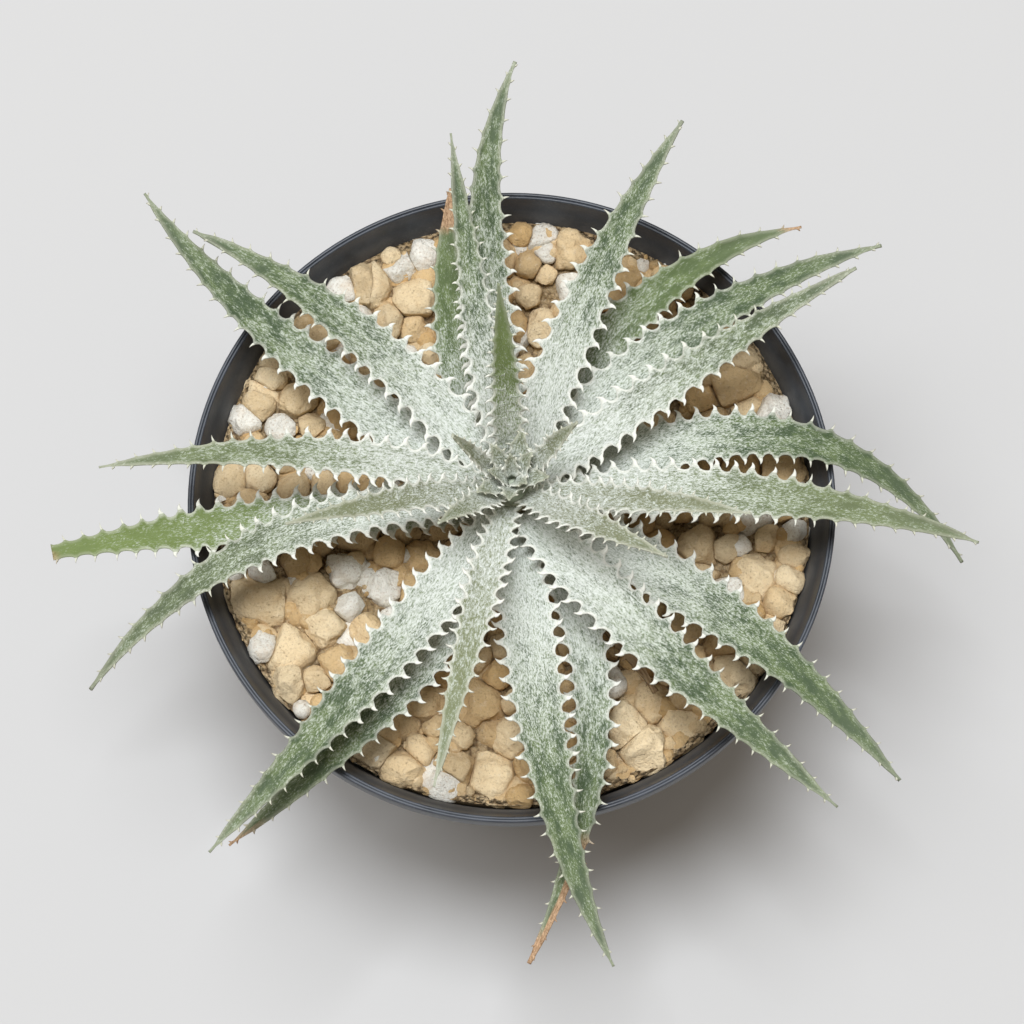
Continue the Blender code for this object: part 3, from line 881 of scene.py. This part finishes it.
class LeafMesh:
    """Builds one blade row by row, with its teeth, from s along the blade and out across it."""

    def __init__(self, name, leaf, leaves, end):
        self.leaf, self.leaves, self.end = leaf, leaves, end
        self.dice = random.Random(sum(ord(letter) * place for place, letter in enumerate(name, 3)))
        self.length = leaf_length(leaf)
        self.half = leaf[4] * MM / 2
        self.size = min(1, self.half / TOOTHED_HALF) ** TOOTH_SHRINK
        self.s, self.out, self.thick, self.edge, self.tooth, self.faces = [], [], [], [], [], []

    def vert(self, s, out, thick, edge, tooth=0.0):
        for store, value in zip((self.s, self.out, self.thick, self.edge, self.tooth),
                                (s, out, thick, edge, tooth)):
            store.append(value)
        return len(self.s) - 1

    def tooth_rows(self, rows):
        """The first and last row of each tooth along one edge."""
        found, row_length = [], self.length * self.end / rows
        place = self.leaves.tooth_pitch * MM * self.size * self.dice.uniform(0.5, 0.9)
        while True:
            s = place / self.length
            first = round(place / row_length)
            slender = 1 - 0.5 * ease(s, 0.3, 0.75)
            wide = self.leaves.tooth_base * MM * self.size * tooth_scale(s) * slender
            last = first + max(1, round(wide / row_length))
            if last > rows - 1:
                return found
            found.append((first, last))
            pitch = self.leaves.tooth_pitch * (0.45 + 0.55 * self.size) * min(1, 0.7 + 1.5 * s)
            place += pitch * MM * self.dice.uniform(0.9, 1.1)

    def margin(self, rows, teeth):
        """How far out the edge runs at each row, dipping in a round bay between teeth."""
        s = np.linspace(0, self.end, rows + 1)
        full = 1 + (self.leaves.fullness - 1) * (1 - ease(s, 0.35, 0.8))
        edge = np.maximum(self.half * swell(s) * full, TIP_WIDTH / 2)
        if self.end < 1:
            edge *= 1 - 0.38 * ease(s, self.end - 0.3, self.end)
        deep = self.leaves.scallop * MM * self.size * (1 - 0.85 * ease(s, 0.4, 0.9))
        bays = deep * np.minimum(1, edge / (2 * MM))
        for (_, here), (there, _) in zip([(0, 0), *teeth], [*teeth, (rows, rows)]):
            span = np.arange(here, there + 1)
            if len(span) > 2:
                bend = ((span - here) / (there - here)) ** 1.15
                bays[span] *= 1 - np.sqrt(4 * bend * (1 - bend))
        return edge + bays

    def add_tooth(self, side, roots, s_rows, margin, first, last):
        """One flat hook on the edge's points from row first to row last."""
        s_from, s_to = s_rows[first], s_rows[last]
        wide = s_to - s_from
        s_mid = (s_from + s_to) / 2
        long = self.leaves.tooth_length * MM * self.size * tooth_scale(s_mid)
        long *= self.dice.uniform(0.85, 1.1)
        lean = min(1.3, -0.25 + 3.6 * max(0, s_mid - 0.32)) + self.dice.uniform(-0.15, 0.15)
        tip = np.array([s_from + lean * wide, margin[first] + long])
        start, stop = np.array([s_from, margin[first]]), np.array([s_to, margin[last]])
        hold_start = start + np.array([(0.55 + 0.2 * lean) * wide, 0.42 * long])
        hold_stop = stop + np.array([(0.1 + 0.25 * lean) * wide, 0.62 * long])
        count = last - first
        lower = roots[first:last + 1]
        for rung in RUNGS:
            a = (1 - rung) ** 2 * start + 2 * rung * (1 - rung) * hold_start + rung**2 * tip
            b = (1 - rung) ** 2 * stop + 2 * rung * (1 - rung) * hold_stop + rung**2 * tip
            upper = []
            for index in range(count + 1):
                share = index / count
                s, out = a + (b - a) * share
                thick = (0.30 + 0.10 * math.sin(math.pi * share)) * (1 - 0.72 * rung)
                upper.append(self.vert(s, side * out, thick, 0.0, rung))
            for index in range(count):
                self.quad(side, lower[index], lower[index + 1], upper[index + 1], upper[index])
            lower = upper
        point = self.vert(tip[0], side * tip[1], 0.08, 0.0, 1.0)
        for index in range(count):
            self.quad(side, lower[index], lower[index + 1], point)

    def quad(self, side, *corners):
        self.faces.append(corners if side > 0 else corners[::-1])

    def build(self):
        rows = max(12, round(self.length * self.end / ROW_STEP))
        s_rows = np.linspace(0, self.end, rows + 1)
        middle = [self.vert(s, 0.0, 1 - 0.7 * s * s, self.half * swell(s) / MM) for s in s_rows]
        for side in (1, -1):
            teeth = self.tooth_rows(rows)
            margin = self.margin(rows, teeth)
            previous = middle
            for column in COLUMNS[1:]:
                flesh = (1 - column**2.2) * (1 - 0.7 * s_rows * s_rows)
                line = [
                    self.vert(s, side * column * m, 0.16 + 0.84 * f, m * (1 - column) / MM)
                    for s, m, f in zip(s_rows, margin, flesh)
                ]
                for row in range(rows):
                    self.quad(side, previous[row], previous[row + 1], line[row + 1], line[row])
                previous = line
            for first, last in teeth:
                self.add_tooth(side, previous, s_rows, margin, first, last)

    def mesh(self, name, tone, green=0.2, dried_from=2.0, young=0.0, bare=0.0, dried_side=0.0):
        self.build()
        s, out = np.array(self.s), np.array(self.out)
        middle, left, up = leaf_axes(self.leaf, np.clip(s, 0, 1))
        half = self.half * np.maximum(swell(np.clip(s, 0, 1)), 0.12)
        share = np.abs(out) / half
        rise = CHANNEL * np.where(share < 1, half * share**1.7, np.abs(out))
        shake = np.array([noise.noise(Vector((a * 9 + tone * 31, b, tone * 7)))
                          for a, b in zip(s, np.sign(out) * 0.35)])
        sway = np.array([noise.noise(Vector((a * 3.1 + tone * 17, 4.2, tone * 5))) for a in s])
        wave = shake * self.leaves.waviness * MM
        rise = rise + wave * np.minimum(1, share) ** 2 * np.minimum(1, s * 5)
        points = middle + left * (out + sway * 0.9 * MM * np.minimum(1, s * 3) * (1 - s))[:, None]
        points = points + up * rise[:, None]
        mesh = bpy.data.meshes.new(name)
        mesh.from_pydata(points.tolist(), [], self.faces)
        along = s * self.length / MM
        one_side = 0.2 * dried_side * ease(out / half, -0.1, 0.25)
        dried = np.clip((s - dried_from + one_side + shake * 0.05) / 0.035, 0, 1)
        self.store(mesh, "leaf_map", along, out / MM, s)
        self.store(mesh, "leaf_edge", self.edge, self.tooth, np.full(len(s), tone))
        self.store(mesh, "leaf_tone", np.full(len(s), green), dried, np.full(len(s), young))
        self.store(mesh, "leaf_bare", np.full(len(s), bare), s * 0, s * 0)
        mesh.shade_smooth()
        return mesh

    @staticmethod
    def store(mesh, name, *numbers):
        layer = mesh.attributes.new(name, "FLOAT_VECTOR", "POINT")
        layer.data.foreach_set("vector", np.stack(numbers, -1).astype(np.float32).ravel())


def thickened(piece, thickness):
    """The modifier that gives a blade its flesh, below its upper skin."""
    flesh = piece.modifiers.new("flesh", "SOLIDIFY")
    flesh.thickness = thickness * MM
    flesh.offset = -1
    return flesh


def make_leaf(name, leaf, leaves, material, number, slot, thickness, end=1.0):
    """One blade as a solid piece: its upper skin, thickened below, thin at the edges and the teeth."""
    form = LeafMesh(name, leaf, leaves, end)
    tone = form.dice.random()
    green, young, bare = GREENNESS.get(number, 0.2), OLIVE.get(number, 0.0), BARE.get(number, 0.0)
    dried, one_side = DRIED_FROM.get(number, 2.0), float(number == HALF_DRIED)
    mesh = form.mesh(name, tone, green, dried, young, bare, one_side)
    nodes = [f"leaf_{number:02d}"] if number else []
    piece = new_piece(name, mesh, material, *nodes, slot=slot)
    group = piece.vertex_groups.new(name="flesh")
    for step in range(101):
        chosen = [index for index, thick in enumerate(form.thick) if round(thick * 100) == step]
        if chosen:
            group.add(chosen, step / 100, "REPLACE")
    flesh = thickened(piece, thickness)
    flesh.vertex_group = "flesh"
    flesh.thickness_vertex_group = 0.02


def make_leaves(leaves):
    material = leaf_material(leaves)
    for number, leaf in LEAVES.items():
        slot = "young_leaf" if number in YOUNG else "leaf"
        end = CUT_AT if number == CUT_LEAF else 1.0
        thickness = THIN if leaf[3] < THIN_REACH else THICK
        make_leaf(f"blade_{number:02d}", leaf, leaves, material, number, slot, thickness, end)
    for index in range(leaves.heart_count):
        share = index / leaves.heart_count
        reach, width, height, crest, tip, start = (first - fall * share for first, fall in HEART)
        heading = HEART_HEADING + index * HEART_TURN
        tiny = (heading, 0, 1, reach, width, height, crest, tip, start * MM)
        make_leaf(f"heart_{index:02d}", tiny, leaves, material, None, "young_leaf", HEART_THICK)


def make_dry_leaf(leaves):
    form = LeafMesh("old", DRY_LEAF, leaves, 1.0)
    mesh = form.mesh("old_leaf", 0.37)
    for vert in mesh.vertices:
        x, y, z = vert.co
        vert.co.z = z + 0.9 * MM * noise.noise(Vector((x * 160, y * 160, 3)))
    piece = new_piece("old_leaf", mesh, dry_material(), "leaf_dry", slot="dry_leaf")
    thickened(piece, DRY_THICK)


def make_stem():
    profile = [(radius * MM, height * MM) for radius, height in STEM_PROFILE]
    turned("stem_core", profile, STEM_STEPS, stem_material(), "stem", slot="stem")


def make_light(name, place, size, power):
    """A round lamp that faces the pot's rim."""
    light = bpy.data.lights.new(name, "AREA")
    light.shape = "DISK"
    light.size = size
    light.energy = power
    light.color = LAMP_COLOUR
    lamp = placed(name, light)
    lamp.location = place
    towards = Vector((0, 0, POT_HEIGHT)) - Vector(place)
    lamp.rotation_euler = towards.to_track_quat("-Z", "Y").to_euler()


def make_stage(studio):
    bpy.ops.mesh.primitive_circle_add(vertices=96, radius=FLOOR_RADIUS, fill_type="NGON")
    floor = bpy.context.object
    floor.name = "studio_floor"
    floor.data.materials.append(floor_material(studio))

    world = bpy.data.worlds.new("studio")
    world.use_nodes = True
    backdrop = world.node_tree.nodes["Background"]
    backdrop.inputs["Color"].default_value = SKY
    backdrop.inputs["Strength"].default_value = studio.ambient
    bpy.context.scene.world = world

    make_light("top_softbox", TOP_LAMP, TOP_SIZE, studio.top_power)
    make_light("side_softbox", SIDE_LAMP, SIDE_SIZE, studio.side_power)

    lens = bpy.data.cameras.new("camera")
    lens.sensor_width = SENSOR
    lens.lens = LENS
    camera = placed("camera", lens)
    tilt = math.radians(studio.camera_tilt)
    towards = Vector((0, -math.sin(tilt), math.cos(tilt)))
    camera.location = Vector(LOOK_AT) + towards * studio.camera_distance
    camera.rotation_euler = (tilt, 0, 0)
    bpy.context.scene.camera = camera
    bpy.context.scene.view_settings.view_transform = "Standard"


def colour_setting(name, description, default):
    return FloatVectorProperty(
        name=name, description=description, subtype="COLOR", size=3, min=0, max=1, default=default
    )


def number_setting(name, description, default, least=0):
    return FloatProperty(name=name, description=description, default=default, min=least)


def count_setting(name, description, default, least=0):
    return IntProperty(name=name, description=description, default=default, min=least)


class LeafSettings(bpy.types.PropertyGroup):
    """Sizes in mm and colours of the leaves."""

    silver: colour_setting("Silver", "Bright scurf", (0.73, 0.755, 0.715))
    silver_shade: colour_setting("Silver shade", "Scurf between its fibres", (0.42, 0.465, 0.37))
    dull_silver: colour_setting("Dull silver", "Scurf towards the tips", (0.345, 0.40, 0.28))
    green: colour_setting("Green", "Bare skin", (0.115, 0.16, 0.058))
    deep_green: colour_setting("Deep green", "Bare skin in patches", (0.057, 0.088, 0.04))
    bright_green: colour_setting("Bright green", "Bare skin of the greenest leaves", (0.19, 0.25, 0.075))
    olive: colour_setting("Olive", "Skin of young leaves", (0.20, 0.21, 0.12))
    tip_grey: colour_setting("Tip grey", "Fuzz towards the tips", (0.17, 0.20, 0.135))
    cream: colour_setting("Cream", "Edge and teeth in the inner half", (0.82, 0.82, 0.74))
    horn: colour_setting("Horn", "Edge and teeth in the outer half", (0.60, 0.60, 0.48))
    needle_brown: colour_setting("Needle brown", "Points of the outer teeth", (0.22, 0.16, 0.10))
    dry_dark: colour_setting("Dry, dark", "Withered tips", (0.20, 0.11, 0.05))
    dry_light: colour_setting("Dry, light", "Withered tips", (0.62, 0.42, 0.26))
    tooth_pitch: number_setting("Tooth pitch", "Between teeth, mm", 4.6, 2)
    tooth_length: number_setting("Tooth length", "From the edge, mm", 1.65, 0.5)
    tooth_base: number_setting("Tooth base", "Width at the edge, mm", 1.4, 0.5)
    scallop: number_setting("Scallop", "Depth between teeth, mm", 1.3)
    fullness: number_setting("Fullness", "Widens the inner half of the leaves", 1.1)
    waviness: number_setting("Waviness", "Of the edges, mm", 0.8)
    heart_count: count_setting("Heart leaves", "Tiny leaves of the bud", 9, 1)


class GravelSettings(bpy.types.PropertyGroup):
    """Colours and counts of the gravel."""

    tan: colour_setting("Tan", "Most stones", (0.89, 0.73, 0.475))
    brown: colour_setting("Brown", "Darker stones", (0.66, 0.44, 0.20))
    white: colour_setting("White", "Pale pumice", (0.96, 0.93, 0.83))
    white_share: number_setting("White share", "Of the stones", 0.09)
    under_count: count_setting("Under layer", "Stones under the others", 390)
    grit_count: count_setting("Grit", "Small stones between the others", 430)
    straw_count: count_setting("Straws", "Dry bits on the gravel", 9)
    seed: count_setting("Seed", "Of the colours and the grit", 4)


class PotSettings(bpy.types.PropertyGroup):
    """Colours of the pot."""

    colour: colour_setting("Plastic", "Main colour", (0.026, 0.031, 0.040))
    worn_colour: colour_setting("Worn plastic", "Where it is rubbed", (0.050, 0.058, 0.072))


class StudioSettings(bpy.types.PropertyGroup):
    """Floor, lights and camera."""

    floor_colour: colour_setting("Floor", "Pale studio floor", (0.545, 0.543, 0.536))
    ambient: number_setting("Ambient", "Light from all sides", 0.31)
    top_power: number_setting("Top light", "Watts of the light overhead", 49)
    side_power: number_setting("Side light", "Watts of the light at the left", 17.5)
    camera_tilt: number_setting("Camera tilt", "Degrees off straight down", 13.45)
    camera_distance: number_setting("Camera distance", "To the rim, m", 0.85, 0.3)


class DYCKIA_OT_pot(bpy.types.Operator):
    """Make the pot."""

    bl_idname = "dyckia.pot"
    bl_label = "Pot"

    def execute(self, context):
        make_pot(context.scene.dyckia_pot)
        return {"FINISHED"}


class DYCKIA_OT_gravel(bpy.types.Operator):
    """Make the stones, the grit, the straws and the soil."""

    bl_idname = "dyckia.gravel"
    bl_label = "Gravel"

    def execute(self, context):
        make_gravel(context.scene.dyckia_gravel)
        make_straws(context.scene.dyckia_gravel)
        return {"FINISHED"}


class DYCKIA_OT_stem(bpy.types.Operator):
    """Make the short stem."""

    bl_idname = "dyckia.stem"
    bl_label = "Stem"

    def execute(self, context):
        make_stem()
        return {"FINISHED"}


class DYCKIA_OT_leaves(bpy.types.Operator):
    """Make the leaves of the rosette and of its heart."""

    bl_idname = "dyckia.leaves"
    bl_label = "Leaves"

    def execute(self, context):
        make_leaves(context.scene.dyckia_leaves)
        return {"FINISHED"}


class DYCKIA_OT_old_leaf(bpy.types.Operator):
    """Make the dried leaf on the gravel."""

    bl_idname = "dyckia.old_leaf"
    bl_label = "Old leaf"

    def execute(self, context):
        make_dry_leaf(context.scene.dyckia_leaves)
        return {"FINISHED"}


class DYCKIA_OT_stage(bpy.types.Operator):
    """Make the floor, the lights and the camera."""

    bl_idname = "dyckia.stage"
    bl_label = "Studio"

    def execute(self, context):
        make_stage(context.scene.dyckia_studio)
        return {"FINISHED"}


STEPS = (
    DYCKIA_OT_pot, DYCKIA_OT_gravel, DYCKIA_OT_stem, DYCKIA_OT_leaves, DYCKIA_OT_old_leaf, DYCKIA_OT_stage
)
SETTINGS = {
    "dyckia_leaves": LeafSettings,
    "dyckia_gravel": GravelSettings,
    "dyckia_pot": PotSettings,
    "dyckia_studio": StudioSettings,
}


class DYCKIA_PT_panel(bpy.types.Panel):
    """Lists the pieces and their settings."""

    bl_label = "Dyckia"
    bl_idname = "DYCKIA_PT_panel"
    bl_space_type = "VIEW_3D"
    bl_region_type = "UI"
    bl_category = "Dyckia"

    def draw(self, context):
        for step in STEPS:
            self.layout.operator(step.bl_idname)
        for name, settings in SETTINGS.items():
            box = self.layout.box()
            for key in settings.__annotations__:
                box.prop(getattr(context.scene, name), key)


def register():
    for settings in SETTINGS.values():
        bpy.utils.register_class(settings)
    for name, settings in SETTINGS.items():
        setattr(bpy.types.Scene, name, PointerProperty(type=settings))
    for item in (*STEPS, DYCKIA_PT_panel):
        bpy.utils.register_class(item)


def unregister():
    for item in (DYCKIA_PT_panel, *reversed(STEPS)):
        bpy.utils.unregister_class(item)
    for name, settings in SETTINGS.items():
        delattr(bpy.types.Scene, name)
        bpy.utils.unregister_class(settings)


def corners(box):
    return [list(corner) for corner in box]


def main():
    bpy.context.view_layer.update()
    register()
    for step in STEPS:
        group, action = step.bl_idname.split(".")
        getattr(getattr(bpy.ops, group), action)()


if __name__ == "__main__":
    main()
